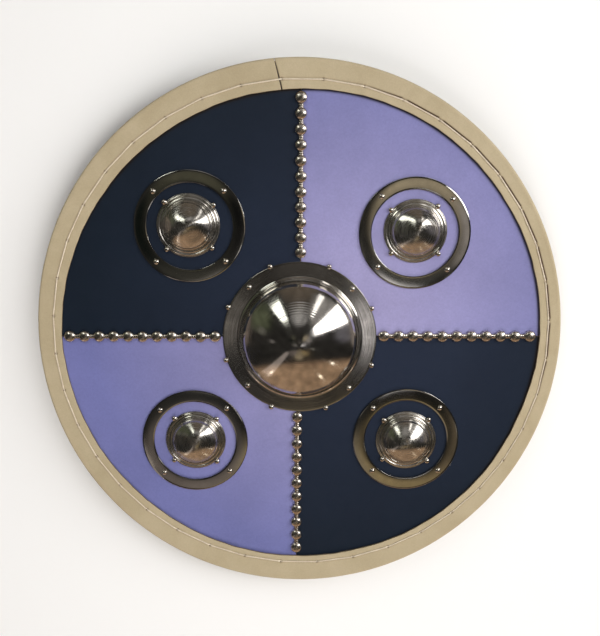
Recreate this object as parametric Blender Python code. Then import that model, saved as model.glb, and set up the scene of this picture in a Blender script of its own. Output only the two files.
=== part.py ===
import bpy
import bmesh
import math
from mathutils import Matrix, Vector

# Round wooden shield with a leather binding, a hollow steel boss, four ringed
# corner bosses and a cross of stud strips. It lies face up on its hand grip.
# +X is to the right as seen from the front, +Y to the top, Z = 0 the floor.

# Sizes in metres

# Outline and layers
outline_width = 0.6116
outline_height = 0.626
board_thickness = 0.010
hand_hole_radius = 0.060
facing_thickness = 0.0012
facing_seam_gap = 0.0008
facing_edge_inset = 0.001
facing_hole_margin = 0.001
clearance = 0.0003

# Leather binding of the edge, its front flap wider at the top and bottom
binding_side_width = 0.0278
binding_end_width = 0.0350
binding_thickness = 0.0025
binding_back_width = 0.028
binding_edge_round = 0.0016
binding_edge_clearance = 0.0008
binding_joint_gap = 0.0008
binding_joint_turn = math.radians(3.8)
binding_joint_slant = math.radians(1.1)

# Stitching
stitch_count = 40
stitch_inset = 0.011
thread_width = 0.002
thread_height = 0.0012

# Centre boss
boss_flange_radius = 0.090
boss_sheet = 0.0015
boss_bead_radius = 0.0708
boss_bead_width = 0.004
boss_bead_height = 0.0016
boss_shoulder_radius = 0.0592
boss_shoulder_height = 0.020
boss_height = 0.042
boss_dome_curve = 2.0
boss_inner_nail_inset = 0.0058

# Corner bosses
corner_flange_radius = 0.0362
corner_sheet = 0.0012
corner_bead_radius = 0.0300
corner_bead_width = 0.0028
corner_bead_height = 0.0010
corner_shoulder_radius = 0.0255
corner_shoulder_height = 0.0085
corner_height = 0.0190
corner_dome_curve = 1.6

# Flat rings round the corner bosses
ring_outer_radius = 0.0635
ring_width = 0.0142
ring_thickness = 0.0015
ring_inward = 0.0044
ring_nail_count = 4

# Round nail heads
nail_radius = 0.0032
nail_height = 0.0026
nail_shoulder_share = 0.72
nail_sink = 0.0004
nail_outset = 0.0009

# Stud strips
stud_count = 11
stud_radius = 0.0070
stud_height = 0.0046
stud_shoulder_radius = 0.0049
stud_shoulder_height = 0.0034
stud_boss_gap = 0.0019
stud_field_gap = 0.0017
link_width = 0.006
link_height = 0.0014
link_lift = 0.0001

# Hand grip
grip_length = 0.460
grip_end_width = 0.042
grip_hand_width = 0.032
grip_thickness = 0.018
grip_edge = 0.004
grip_board_edge = 0.001
grip_hand_half_length = 0.056
grip_taper_length = 0.036

# Fineness of the round shapes
rim_steps = 52
boss_steps = 30
boss_dome_rows = 5
corner_steps = 16
corner_dome_rows = 3
ring_steps = 24
nail_steps = 8
stud_steps = 8
quarter_steps = 13
hole_quarter_steps = 8

# Faces that meet at less than this, in degrees, are shaded as one curve
flat_piece_smooth = 30
boss_smooth = 40
joined_smooth = 50
nail_smooth = 60

# Points nearer than these are one point, and a corner is mitred no longer than this
axis_tolerance = 1e-7
merge_distance = 1e-6
least_mitre = 0.5

# Levels above the floor
board_back = grip_thickness + clearance
board_front = board_back + board_thickness
facing_base = board_front + clearance
front_level = facing_base + facing_thickness

# Half sizes of the wooden board, inside the binding
board_half_width = outline_width / 2 - binding_thickness - binding_edge_clearance
board_half_height = outline_height / 2 - binding_thickness - binding_edge_clearance

# Half sizes of the painted field, inside the front flap of the binding
field_half_width = outline_width / 2 - binding_side_width
field_half_height = outline_height / 2 - binding_end_width

# Distances from the centre of the end studs of a strip, and of the corner rings
first_stud = boss_flange_radius + stud_boss_gap + stud_radius
last_stud_across = field_half_width - stud_field_gap - stud_radius
last_stud_along = field_half_height - stud_field_gap - stud_radius
field_half_size = (field_half_width + field_half_height) / 2
ring_distance = (boss_flange_radius + field_half_size) / 2 - ring_inward

# The cross, the leather's inner edge and the boss stand a little off true, as made.
# The cross is placed from the outline's middle, the other two from the cross.
cross_shift = Vector((0.0007, 0.0013, 0.0))
field_shift = Vector((0.0012, 0.0, 0.0))
boss_shift = Vector((0.0001, -0.0016, 0.0))

# Directions of the nails round the centre boss, in degrees, as nailed by hand.
# The middle one of each three stands inside the flange's edge.
centre_nail_angles = (23, 44, 68, 112, 134, 156, 197, 223, 248, 290, 314, 339)

# Each strip runs outwards at its angle. The two side shifts are how far it was
# nailed off the true line at the boss and at the edge, towards its left hand.
strips = {
    "top": {
        "angle": math.radians(90), "last_stud": last_stud_along,
        "side_at_boss": -0.0013, "side_at_edge": -0.0019,
    },
    "left": {
        "angle": math.radians(180), "last_stud": last_stud_across,
        "side_at_boss": 0.0, "side_at_edge": 0.0,
    },
    "bottom": {
        "angle": math.radians(270), "last_stud": last_stud_along,
        "side_at_boss": -0.0029, "side_at_edge": -0.0043,
    },
    "right": {
        "angle": math.radians(0), "last_stud": last_stud_across,
        "side_at_boss": 0.0008, "side_at_edge": 0.0008,
    },
}

# Each corner's ring and boss stand a little off the true diagonal, as nailed. The
# ring is turned by its own small angle, and the boss's nails have theirs in degrees.
corners = {
    "upper_left": {
        "angle": math.radians(135), "ring_shift": (0.0021, 0.0012), "ring_turn": math.radians(0.4),
        "boss_shift": (-0.0015, 0.0014), "nail_angles": (38, 135, 227, 316),
    },
    "upper_right": {
        "angle": math.radians(45), "ring_shift": (0.0040, -0.0063), "ring_turn": math.radians(-2.1),
        "boss_shift": (0.0006, 0.0026), "nail_angles": (49, 140, 223, 316),
    },
    "lower_left": {
        "angle": math.radians(225), "ring_shift": (0.0009, -0.0021), "ring_turn": math.radians(1.6),
        "boss_shift": (0.0007, 0.0009), "nail_angles": (46, 132, 224, 313),
    },
    "lower_right": {
        "angle": math.radians(315), "ring_shift": (0.0009, 0.0), "ring_turn": math.radians(0.4),
        "boss_shift": (0.0003, -0.0008), "nail_angles": (45, 137, 221, 315),
    },
}

# The quarters of the field, each between two strips, anticlockwise
quarters = {
    "upper_right": ("right", "top", "lavender_leather"),
    "upper_left": ("top", "left", "navy_leather"),
    "lower_left": ("left", "bottom", "lavender_leather"),
    "lower_right": ("bottom", "right", "navy_leather"),
}

finishes = {
    "pale_wood": ((0.50, 0.34, 0.20), 0.62, 0.0),
    "navy_leather": ((0.014, 0.017, 0.033), 0.60, 0.0),
    "lavender_leather": ((0.27, 0.24, 0.47), 0.60, 0.0),
    "tan_leather": ((0.46, 0.38, 0.25), 0.65, 0.0),
    "waxed_thread": ((0.42, 0.35, 0.23), 0.70, 0.0),
    "polished_steel": ((0.60, 0.58, 0.55), 0.12, 1.0),
    "nickel_plate": ((0.72, 0.66, 0.56), 0.18, 1.0),
}


def clear_scene():
    for item in list(bpy.data.objects):
        bpy.data.objects.remove(item, do_unlink=True)


def make_material(name):
    colour, roughness, metallic = finishes[name]
    material = bpy.data.materials.new(name)
    material.use_nodes = True
    shader = material.node_tree.nodes["Principled BSDF"]
    shader.inputs["Base Color"].default_value = (*colour, 1.0)
    shader.inputs["Roughness"].default_value = roughness
    shader.inputs["Metallic"].default_value = metallic
    material.diffuse_color = (*colour, 1.0)
    return material


def finish_mesh(bm, name, smooth_angle=None):
    # Faces are turned outwards. Round pieces are shaded smooth below the angle.
    bmesh.ops.recalc_face_normals(bm, faces=bm.faces[:])
    mesh = bpy.data.meshes.new(name)
    bm.to_mesh(mesh)
    bm.free()
    if smooth_angle is not None:
        mesh.shade_smooth()
        mesh.set_sharp_from_angle(angle=math.radians(smooth_angle))
    return mesh


def place(name, mesh, finish, parent, location=(0.0, 0.0, 0.0), turn=0.0):
    piece = bpy.data.objects.new(name, mesh)
    bpy.context.scene.collection.objects.link(piece)
    if not mesh.materials:
        mesh.materials.append(materials[finish])
    piece.parent = parent
    piece.location = location
    piece.rotation_euler = (0.0, 0.0, turn)


def make_frame(name, location):
    frame = bpy.data.objects.new(name, None)
    bpy.context.scene.collection.objects.link(frame)
    frame.location = location
    return frame


def polar(radius, angle, height=0.0):
    return Vector((radius * math.cos(angle), radius * math.sin(angle), height))


def oval_radius(angle, half_width, half_height):
    across = half_height * math.cos(angle)
    along = half_width * math.sin(angle)
    return half_width * half_height / math.hypot(across, along)


def add_turned(bm, profile, steps, centre=(0.0, 0.0, 0.0)):
    # Spins a section, given as (radius, height) points, once round the Z axis.
    middle = Vector(centre)
    points = [bm.verts.new(middle + Vector((radius, 0.0, height))) for radius, height in profile]
    edges = [bm.edges.new(pair) for pair in zip(points, points[1:])]
    bmesh.ops.spin(
        bm, geom=points + edges, cent=middle, axis=(0.0, 0.0, 1.0), dvec=(0.0, 0.0, 0.0),
        angle=math.tau, steps=steps, use_merge=True,
    )
    axis_points = [v for v in bm.verts if (v.co - middle).to_2d().length < axis_tolerance]
    bmesh.ops.remove_doubles(bm, verts=axis_points, dist=merge_distance)


def add_skin(bm, sections, closed):
    # Joins a row of like outlines by faces, end to end or with two end caps.
    rows = [[bm.verts.new(point) for point in section] for section in sections]
    count = len(rows[0])
    pairs = list(zip(rows, rows[1:]))
    if closed:
        pairs.append((rows[-1], rows[0]))
    for first, second in pairs:
        for k in range(count):
            after = (k + 1) % count
            bm.faces.new((first[k], first[after], second[after], second[k]))
    if not closed:
        bm.faces.new(rows[0])
        bm.faces.new(rows[-1])


def add_plate(bm, outline, base, thickness):
    # A flat closed outline made into a plate of even thickness.
    lower = [bm.verts.new((point.x, point.y, base)) for point in outline]
    face = bm.faces.new(lower)
    grown = bmesh.ops.extrude_face_region(bm, geom=[face])
    upper = [item for item in grown["geom"] if isinstance(item, bmesh.types.BMVert)]
    bmesh.ops.translate(bm, verts=upper, vec=(0.0, 0.0, thickness))


def united(name, body_bm, added_bm):
    # Fuses the added shapes with the body into one closed mesh.
    body = bpy.data.objects.new(name + "_body", finish_mesh(body_bm, name + "_body"))
    added = bpy.data.objects.new(name + "_added", finish_mesh(added_bm, name + "_added"))
    for item in (body, added):
        bpy.context.scene.collection.objects.link(item)
    join = body.modifiers.new("join", "BOOLEAN")
    join.operation = "UNION"
    join.solver = "EXACT"
    join.object = added
    ready = body.evaluated_get(bpy.context.evaluated_depsgraph_get())
    mesh = bpy.data.meshes.new_from_object(ready)
    mesh.name = name
    for item in (body, added):
        bpy.data.objects.remove(item, do_unlink=True)
    mesh.shade_smooth()
    mesh.set_sharp_from_angle(angle=math.radians(joined_smooth))
    return mesh


def board_mesh():
    bm = bmesh.new()
    rows = []
    for step in range(rim_steps):
        angle = math.tau * step / rim_steps
        outer = oval_radius(angle, board_half_width, board_half_height)
        rows.append([
            polar(hand_hole_radius, angle, board_back),
            polar(outer, angle, board_back),
            polar(outer, angle, board_front),
            polar(hand_hole_radius, angle, board_front),
        ])
    add_skin(bm, rows, closed=True)
    return finish_mesh(bm, "board", flat_piece_smooth)


def strip_side(strip, radius):
    # How far the strip's line stands off its true angle at this distance out.
    share = (radius - first_stud) / (strip["last_stud"] - first_stud)
    return strip["side_at_boss"] + share * (strip["side_at_edge"] - strip["side_at_boss"])


def seam_angle(strip, radius, gap_side):
    # The angle of one quarter's edge under a strip, half a seam gap from its line,
    # both seen from the outline's middle.
    cross_side = cross_shift.dot(polar(1.0, strip["angle"] + math.pi / 2))
    side = strip_side(strip, radius) + cross_side + gap_side * facing_seam_gap / 2
    return strip["angle"] + math.asin(side / radius)


def facing_mesh(name, first_strip, second_strip):
    # A quarter of the field between two seams, from the hand hole to the edge.
    half_width = board_half_width - facing_edge_inset
    half_height = board_half_height - facing_edge_inset
    inner_radius = hand_hole_radius + facing_hole_margin
    outer_radius = (half_width + half_height) / 2
    outer_start = seam_angle(first_strip, outer_radius, +1)
    outer_end = seam_angle(second_strip, outer_radius, -1)
    inner_start = seam_angle(first_strip, inner_radius, +1)
    inner_end = seam_angle(second_strip, inner_radius, -1)
    outer_sweep = (outer_end - outer_start) % math.tau
    inner_sweep = (inner_end - inner_start) % math.tau
    outline = []
    for step in range(quarter_steps + 1):
        angle = outer_start + outer_sweep * step / quarter_steps
        outline.append(polar(oval_radius(angle, half_width, half_height), angle))
    for step in range(hole_quarter_steps, -1, -1):
        outline.append(polar(inner_radius, inner_start + inner_sweep * step / hole_quarter_steps))
    bm = bmesh.new()
    add_plate(bm, outline, facing_base, facing_thickness)
    return finish_mesh(bm, name)


def binding_section(turn):
    # The folded leather at one place: front flap, edge, then back flap. Each point
    # is given by how far it stands in from the outline, and its height.
    flap_under = front_level + clearance
    flap_top = flap_under + binding_thickness
    back_top = board_back - clearance
    back_under = back_top - binding_thickness
    line = [
        (binding_side_width, flap_under),
        (binding_thickness, flap_under),
        (binding_thickness, back_top),
        (binding_back_width, back_top),
        (binding_back_width, back_under),
        (binding_edge_round, back_under),
        (0.0, back_under + binding_edge_round),
        (0.0, flap_top - binding_edge_round),
        (binding_edge_round, flap_top),
        (binding_side_width, flap_top),
    ]
    points = []
    for inset, height in line:
        lean = binding_joint_slant * (1 - inset / binding_side_width)
        half_gap = binding_joint_gap / 2 / (outline_width / 2 - inset)
        start = math.pi / 2 + binding_joint_turn + lean + half_gap
        angle = start + turn * (math.tau - 2 * half_gap)
        if inset == binding_side_width:
            radius = oval_radius(angle, field_half_width, field_half_height)
            points.append(cross_shift + field_shift + polar(radius, angle, height))
        else:
            radius = oval_radius(angle, outline_width / 2, outline_height / 2) - inset
            points.append(polar(radius, angle, height))
    return points


def binding_mesh():
    bm = bmesh.new()
    sections = [binding_section(step / rim_steps) for step in range(rim_steps + 1)]
    add_skin(bm, sections, closed=False)
    return finish_mesh(bm, "edge_binding", flat_piece_smooth)


def thread_mesh(name, base, upwards):
    # One long straight stitch between each hole and the next, all round.
    bm = bmesh.new()
    sections = []
    for step in range(stitch_count):
        angle = math.pi / 2 + binding_joint_turn + math.tau * step / stitch_count
        middle = oval_radius(angle, field_half_width, field_half_height) + stitch_inset
        sections.append([
            polar(middle - thread_width / 2, angle, base),
            polar(middle + thread_width / 2, angle, base),
            polar(middle, angle, base + upwards * thread_height),
        ])
    add_skin(bm, sections, closed=True)
    return finish_mesh(bm, name)


def boss_outer_line(size):
    # The outer line of a boss from its tip down to the edge of its flange:
    # height = shoulder + rise * (1 - (radius / shoulder radius) ** curve) on the
    # dome, then a steep wall, a raised bead at its foot and the flat flange.
    rise = size["height"] - size["shoulder_height"]
    line = []
    for row in range(size["dome_rows"] + 1):
        share = row / size["dome_rows"]
        height = size["shoulder_height"] + rise * (1 - share ** size["dome_curve"])
        line.append((size["shoulder_radius"] * share, height))
    bead_inside = size["bead_radius"] - size["bead_width"] / 2
    bead_outside = size["bead_radius"] + size["bead_width"] / 2
    line.append((bead_inside, size["sheet"] + size["bead_height"] / 2))
    line.append((size["bead_radius"], size["sheet"] + size["bead_height"]))
    line.append((bead_outside, size["sheet"]))
    line.append((size["flange_radius"], size["sheet"]))
    return line


def inset_line(line, distance):
    # The same line moved inwards, square to itself, by the sheet's thickness.
    moved = []
    for k, point in enumerate(line):
        before = line[max(k - 1, 0)]
        after = line[min(k + 1, len(line) - 1)]
        first = Vector((point[0] - before[0], point[1] - before[1])) if k > 0 else None
        second = Vector((after[0] - point[0], after[1] - point[1])) if k < len(line) - 1 else None
        sides = [Vector((side.y, -side.x)).normalized() for side in (first, second) if side]
        normal = sum(sides, Vector((0.0, 0.0))).normalized()
        stretch = distance / max(normal.dot(sides[0]), least_mitre)
        moved.append(Vector(point) + normal * stretch)
    moved[0] = Vector((0.0, line[0][1] - distance))
    return moved


def boss_mesh(name, size, steps):
    outer = boss_outer_line(size)
    inner = inset_line(outer, size["sheet"])
    inner[-1] = Vector((size["flange_radius"], 0.0))
    inner[-2] = Vector((inner[-2].x, 0.0))
    profile = outer + [tuple(point) for point in reversed(inner)]
    bm = bmesh.new()
    add_turned(bm, profile, steps)
    return finish_mesh(bm, name, boss_smooth)


def nail_profile(base):
    # A low round head with a flat underside.
    shoulder = (nail_radius * nail_shoulder_share, base + nail_height * nail_shoulder_share)
    return [(0.0, base + nail_height), shoulder, (nail_radius, base), (0.0, base)]


def nail_mesh():
    bm = bmesh.new()
    add_turned(bm, nail_profile(0.0), nail_steps)
    return finish_mesh(bm, "nail", nail_smooth)


def ring_mesh():
    # A flat ring with a nail head fused on at each diagonal.
    inner_radius = ring_outer_radius - ring_width
    body = bmesh.new()
    section = [
        (inner_radius, 0.0),
        (inner_radius, ring_thickness),
        (ring_outer_radius, ring_thickness),
        (ring_outer_radius, 0.0),
        (inner_radius, 0.0),
    ]
    add_turned(body, section, ring_steps)
    bmesh.ops.remove_doubles(body, verts=body.verts[:], dist=merge_distance)
    heads = bmesh.new()
    middle = inner_radius + ring_width / 2
    for step in range(ring_nail_count):
        angle = math.pi / 4 + step * math.tau / ring_nail_count
        spot = polar(middle, angle)
        add_turned(heads, nail_profile(ring_thickness - nail_sink), nail_steps, spot)
    return united("ring", body, heads)


def strip_mesh(last_stud):
    # A row of round studs on one narrow stamped link, along +X from the boss.
    pitch = (last_stud - first_stud) / (stud_count - 1)
    link = bmesh.new()
    half = link_width / 2
    outline = [
        Vector((first_stud, -half)),
        Vector((last_stud, -half)),
        Vector((last_stud, half)),
        Vector((first_stud, half)),
    ]
    add_plate(link, outline, link_lift, link_height)
    studs = bmesh.new()
    profile = [
        (0.0, stud_height),
        (stud_shoulder_radius, stud_shoulder_height),
        (stud_radius, 0.0),
        (0.0, 0.0),
    ]
    for step in range(stud_count):
        add_turned(studs, profile, stud_steps, (first_stud + step * pitch, 0.0, 0.0))
    return united("stud_strip", link, studs)


def grip_section(along):
    # The bar's outline at one place, full at the ends and slimmer at the hand.
    past_hand = (abs(along) - grip_hand_half_length) / grip_taper_length
    share = min(max(past_hand, 0.0), 1.0)
    half = (grip_hand_width + share * (grip_end_width - grip_hand_width)) / 2
    top = grip_thickness
    return [
        Vector((along, -half + grip_edge, 0.0)),
        Vector((along, half - grip_edge, 0.0)),
        Vector((along, half, grip_edge)),
        Vector((along, half, top - grip_board_edge)),
        Vector((along, half - grip_board_edge, top)),
        Vector((along, -half + grip_board_edge, top)),
        Vector((along, -half, top - grip_board_edge)),
        Vector((along, -half, grip_edge)),
    ]


def grip_mesh():
    reach = grip_length / 2
    hand = grip_hand_half_length
    full = hand + grip_taper_length
    bm = bmesh.new()
    sections = [grip_section(along) for along in (-reach, -full, -hand, hand, full, reach)]
    add_skin(bm, sections, closed=False)
    return finish_mesh(bm, "hand_grip", flat_piece_smooth)


centre_boss_size = {
    "flange_radius": boss_flange_radius, "sheet": boss_sheet,
    "bead_radius": boss_bead_radius, "bead_width": boss_bead_width, "bead_height": boss_bead_height,
    "shoulder_radius": boss_shoulder_radius, "shoulder_height": boss_shoulder_height,
    "height": boss_height, "dome_curve": boss_dome_curve, "dome_rows": boss_dome_rows,
}
corner_boss_size = {
    "flange_radius": corner_flange_radius, "sheet": corner_sheet,
    "bead_radius": corner_bead_radius, "bead_width": corner_bead_width, "bead_height": corner_bead_height,
    "shoulder_radius": corner_shoulder_radius, "shoulder_height": corner_shoulder_height,
    "height": corner_height, "dome_curve": corner_dome_curve, "dome_rows": corner_dome_rows,
}

clear_scene()
materials = {name: make_material(name) for name in finishes}
shield = make_frame("shield", (0.0, 0.0, 0.0))
front = make_frame("shield_front", cross_shift + Vector((0.0, 0.0, front_level + clearance)))
front.parent = shield

# Wood, facing, binding and thread
place("board", board_mesh(), "pale_wood", shield)
place("hand_grip", grip_mesh(), "pale_wood", shield)
for name, (first_name, second_name, leather) in quarters.items():
    quarter = facing_mesh("facing_" + name, strips[first_name], strips[second_name])
    place("facing_" + name, quarter, leather, shield)
place("edge_binding", binding_mesh(), "tan_leather", shield)
thread_front = front_level + clearance + binding_thickness + clearance
thread_back = board_back - clearance - binding_thickness - clearance
field_middle = cross_shift + field_shift
place("thread_front", thread_mesh("thread_front", thread_front, 1), "waxed_thread", shield, field_middle)
place("thread_back", thread_mesh("thread_back", thread_back, -1), "waxed_thread", shield, field_middle)

# Centre boss with its nails, none of them where a strip meets it
centre_boss = boss_mesh("centre_boss", centre_boss_size, boss_steps)
place("centre_boss", centre_boss, "polished_steel", front, boss_shift)
nail = nail_mesh()
for number, degrees in enumerate(centre_nail_angles):
    inside = number % 3 == 1
    reach = boss_flange_radius + (-boss_inner_nail_inset if inside else nail_outset)
    spot = boss_shift + polar(reach, math.radians(degrees), boss_sheet + clearance)
    place(f"centre_nail_{number + 1:02d}", nail, "nickel_plate", front, spot)

# Four stud strips in a cross
for name, line in strips.items():
    run = line["last_stud"] - first_stud
    lean = math.atan((line["side_at_edge"] - line["side_at_boss"]) / run)
    shift = strip_side(line, 0.0)
    spot = Matrix.Rotation(line["angle"], 3, "Z") @ Vector((0.0, shift, 0.0))
    strip = strip_mesh(line["last_stud"])
    place("stud_strip_" + name, strip, "nickel_plate", front, spot, line["angle"] + lean)

# Four corners, each a flat ring round a small boss held by four nails
ring = ring_mesh()
corner_boss = boss_mesh("corner_boss", corner_boss_size, corner_steps)
for name, corner in corners.items():
    ring_spot = polar(ring_distance, corner["angle"]) + Vector((*corner["ring_shift"], 0.0))
    boss_spot = ring_spot + Vector((*corner["boss_shift"], 0.0))
    place("ring_" + name, ring, "polished_steel", front, ring_spot, corner["ring_turn"])
    place("boss_" + name, corner_boss, "polished_steel", front, boss_spot)
    for number, degrees in enumerate(corner["nail_angles"]):
        reach = corner_flange_radius + nail_outset
        spot = boss_spot + polar(reach, math.radians(degrees), corner_sheet + clearance)
        place(f"nail_{name}_{number + 1}", nail, "nickel_plate", front, spot)
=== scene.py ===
import math

import bmesh
import bpy
import numpy as np
from mathutils import Matrix, Vector


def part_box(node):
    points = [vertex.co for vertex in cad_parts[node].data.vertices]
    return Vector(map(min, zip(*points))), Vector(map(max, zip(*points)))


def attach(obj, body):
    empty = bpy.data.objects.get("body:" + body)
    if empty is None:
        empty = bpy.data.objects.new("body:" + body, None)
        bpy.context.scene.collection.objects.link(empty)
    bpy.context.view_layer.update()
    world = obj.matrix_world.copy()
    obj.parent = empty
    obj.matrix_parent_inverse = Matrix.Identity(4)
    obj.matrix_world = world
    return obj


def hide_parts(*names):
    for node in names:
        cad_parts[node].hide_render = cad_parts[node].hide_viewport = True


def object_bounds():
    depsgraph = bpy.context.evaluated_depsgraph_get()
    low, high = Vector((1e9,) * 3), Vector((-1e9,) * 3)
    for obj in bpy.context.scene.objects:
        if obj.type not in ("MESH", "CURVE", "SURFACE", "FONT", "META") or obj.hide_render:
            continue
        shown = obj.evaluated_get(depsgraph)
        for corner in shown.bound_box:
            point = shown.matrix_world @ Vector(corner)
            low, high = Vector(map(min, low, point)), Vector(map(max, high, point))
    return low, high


# Round wooden shield, lying face up on its hand grip. Every piece is a surface worked out with
# numpy in the row frame, in metres: +X right, +Y to the top, +Z out of the painted face.

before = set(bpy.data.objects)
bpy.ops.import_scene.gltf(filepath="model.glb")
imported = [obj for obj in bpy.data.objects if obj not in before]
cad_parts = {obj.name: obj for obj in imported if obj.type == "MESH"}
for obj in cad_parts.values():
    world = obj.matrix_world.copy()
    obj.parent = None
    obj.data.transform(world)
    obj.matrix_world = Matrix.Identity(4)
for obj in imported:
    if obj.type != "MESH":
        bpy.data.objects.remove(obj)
cadLow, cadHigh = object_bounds()  # the size that the finished pieces are held to
turn = 2 * math.pi
mm = 0.001
randomNumbers = np.random.default_rng(11)


def boxMiddle(node):
    # middle of a node in X and Y, at its lowest level
    low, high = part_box(node)
    return np.array([(low.x + high.x) / 2, (low.y + high.y) / 2, low.z])


def boxRadius(node):
    low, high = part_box(node)
    return (high.x - low.x) / 2


# Half sizes and middles that several pieces share
outline = {
    "halfWidth": (cadHigh.x - cadLow.x) / 2,
    "halfHeight": (cadHigh.y - cadLow.y) / 2,
    "fieldRadius": 0.278,  # edge of the painted field, inside the leather flap
    "fieldMiddle": np.array([0.0019, 0.0013]),
    "crossMiddle": np.array([0.0007, 0.0013]),
    # how far the hand-cut flap ends outside the field's circle, in mm, every 20 degrees from +X
    "flapEnds": (1.2, 1.5, 1.4, 1.8, 1.1, -0.5, -1.3, -0.9, -0.4,
                 1.9, 1.5, 1.2, 2.3, 2.8, 2.6, 2.8, 1.6, -0.1),
}


def flapEdge(angle):
    # distance from the origin to the flap's end along an angle: the field's circle, and the
    # hand-cut edge's offsets joined by straight runs
    toMiddle = outline["fieldMiddle"]
    along = toMiddle[0] * np.cos(angle) + toMiddle[1] * np.sin(angle)
    off = toMiddle[1] * np.cos(angle) - toMiddle[0] * np.sin(angle)
    places = np.radians(np.arange(0, 360, 20))
    offset = np.interp(angle % turn, places, outline["flapEnds"], period=turn) * mm
    return along + np.sqrt(outline["fieldRadius"] ** 2 - off ** 2) + offset


def ovalRadius(angle, halfWidth, halfHeight):
    # distance from the middle of an oval to its edge at an angle
    return halfWidth * halfHeight / np.hypot(halfHeight * np.cos(angle), halfWidth * np.sin(angle))


def smoothStep(value, start, end):
    share = np.clip((value - start) / (end - start), 0, 1)
    return share * share * (3 - 2 * share)


# Meshes


def gridPoints(x, y, z):
    # x, y and z, each a number or a grid that fits the others, as one grid of points
    return np.stack(np.broadcast_arrays(x, y, z), axis=-1)


def gridSurface(points, closeRows=False, closeColumns=False, capEnds=False, uv=None, marks=None):
    # A rows x columns x 3 grid of points joined by quads. uv gives (u, v) at every point, with
    # one more row or column where the grid closes on itself. marks is one number for each point.
    rows, columns = points.shape[:2]
    r, c = np.meshgrid(
        np.arange(rows if closeRows else rows - 1),
        np.arange(columns if closeColumns else columns - 1), indexing="ij",
    )
    cornerRows = np.stack([r, r + 1, r + 1, r], axis=-1).reshape(-1, 4)
    cornerColumns = np.stack([c, c, c + 1, c + 1], axis=-1).reshape(-1, 4)
    faces = (cornerRows % rows) * columns + cornerColumns % columns
    if uv is None:
        share = np.stack([cornerColumns / columns, cornerRows / rows], axis=-1)
    else:
        share = uv[np.minimum(cornerRows, uv.shape[0] - 1), np.minimum(cornerColumns, uv.shape[1] - 1)]
    faceList = faces.tolist()
    corners = share.reshape(-1, 2)
    if capEnds:
        ends = [list(range(columns)), list(range((rows - 1) * columns, rows * columns))]
        faceList += ends
        corners = np.concatenate([corners, np.zeros((2 * columns, 2))])
    flat = points.reshape(-1, 3)
    return {
        "points": flat, "faces": faceList, "corners": corners,
        "marks": np.zeros(len(flat)) if marks is None else marks.reshape(-1),
    }


def addPiece(name, surfaces, material, nodes=(), smoothBelow=40, weld=2e-6):
    # One object at the origin from one or more surfaces. Points that fall together at poles and
    # seams are merged, and the faces of each closed shell are turned outwards.
    starts = np.cumsum([0] + [len(s["points"]) for s in surfaces])
    faces = [[k + start for k in face] for s, start in zip(surfaces, starts) for face in s["faces"]]
    mesh = bpy.data.meshes.new(name)
    mesh.from_pydata(np.concatenate([s["points"] for s in surfaces]).tolist(), [], faces)
    layer = mesh.uv_layers.new(name="surface")
    layer.data.foreach_set("uv", np.concatenate([s["corners"] for s in surfaces]).astype(np.float32).ravel())
    # one mark per point: dirt in the board's plank grooves, and painted shade on the facing and the binding
    dirtAndShade = mesh.attributes.new("dirtAndShade", "FLOAT", "POINT")
    dirtAndShade.data.foreach_set("value", np.concatenate([s["marks"] for s in surfaces]).astype(np.float32))
    bm = bmesh.new()
    bm.from_mesh(mesh)
    bmesh.ops.remove_doubles(bm, verts=bm.verts[:], dist=weld)
    bmesh.ops.dissolve_degenerate(bm, edges=bm.edges[:], dist=weld / 4)
    bmesh.ops.recalc_face_normals(bm, faces=bm.faces[:])
    bm.to_mesh(mesh)
    bm.free()
    mesh.shade_smooth()
    mesh.set_sharp_from_angle(angle=math.radians(smoothBelow))
    mesh.materials.append(material)
    piece = bpy.data.objects.new(name, mesh)
    bpy.context.scene.collection.objects.link(piece)
    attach(piece, "root")
    if nodes:
        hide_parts(*nodes)
    return piece


def roundedLine(corners, cuts, steps=6):
    # A line through (x, y) corners where each corner is rounded: a curve that starts its cut
    # before the corner, ends its cut after it and is drawn towards the corner in between.
    corners = np.asarray(corners, float)
    share = np.linspace(0, 1, steps)[:, None]
    parts = [corners[:1]]
    for k in range(1, len(corners) - 1):
        before, here, after = corners[k - 1:k + 2]
        cut = cuts[k - 1]
        if cut == 0:
            parts.append(here[None])
            continue
        first = here + (before - here) / np.linalg.norm(before - here) * cut
        last = here + (after - here) / np.linalg.norm(after - here) * cut
        parts.append((1 - share) ** 2 * first + 2 * share * (1 - share) * here + share ** 2 * last)
    parts.append(corners[-1:])
    return np.concatenate(parts)


def finerLine(line, longest):
    # the same line with points added so that no step is longer than the given length
    pieces = []
    for start, end in zip(line, line[1:]):
        count = max(1, math.ceil(np.linalg.norm(end - start) / longest))
        pieces.append(start + (end - start) * (np.arange(count) / count)[:, None])
    return np.concatenate(pieces + [line[-1:]])


def turnedSurface(profile, middle, steps, unevenness=None):
    # A profile of (radius, height) points turned once round the upright axis through the middle:
    # x = radius cos(angle), y = radius sin(angle), z = height plus a small unevenness.
    angle = np.linspace(0, turn, steps, endpoint=False)
    radius = profile[:, :1]
    height = profile[:, 1:] + (unevenness(radius, angle) if unevenness else 0 * angle)
    x, y = middle[0] + radius * np.cos(angle), middle[1] + radius * np.sin(angle)
    points = gridPoints(x, y, middle[2] + height)
    along = np.concatenate([[0], np.cumsum(np.linalg.norm(np.diff(profile, axis=0), axis=1))])
    u, v = np.meshgrid(np.arange(steps + 1) / steps, along)
    return gridSurface(points, closeColumns=True, uv=np.stack([u, v], axis=-1))


# Materials


def addNode(tree, kind, inputs=None, **settings):
    # a node with its settings, and each of its inputs linked or set
    node = tree.nodes.new(kind)
    for key, value in settings.items():
        setattr(node, key, value)
    for key, value in (inputs or {}).items():
        socket = node.inputs[key]
        if isinstance(value, bpy.types.NodeSocket):
            tree.links.new(value, socket)
        else:
            socket.default_value = (*value, 1) if socket.type == "RGBA" else value
    return node


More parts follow.
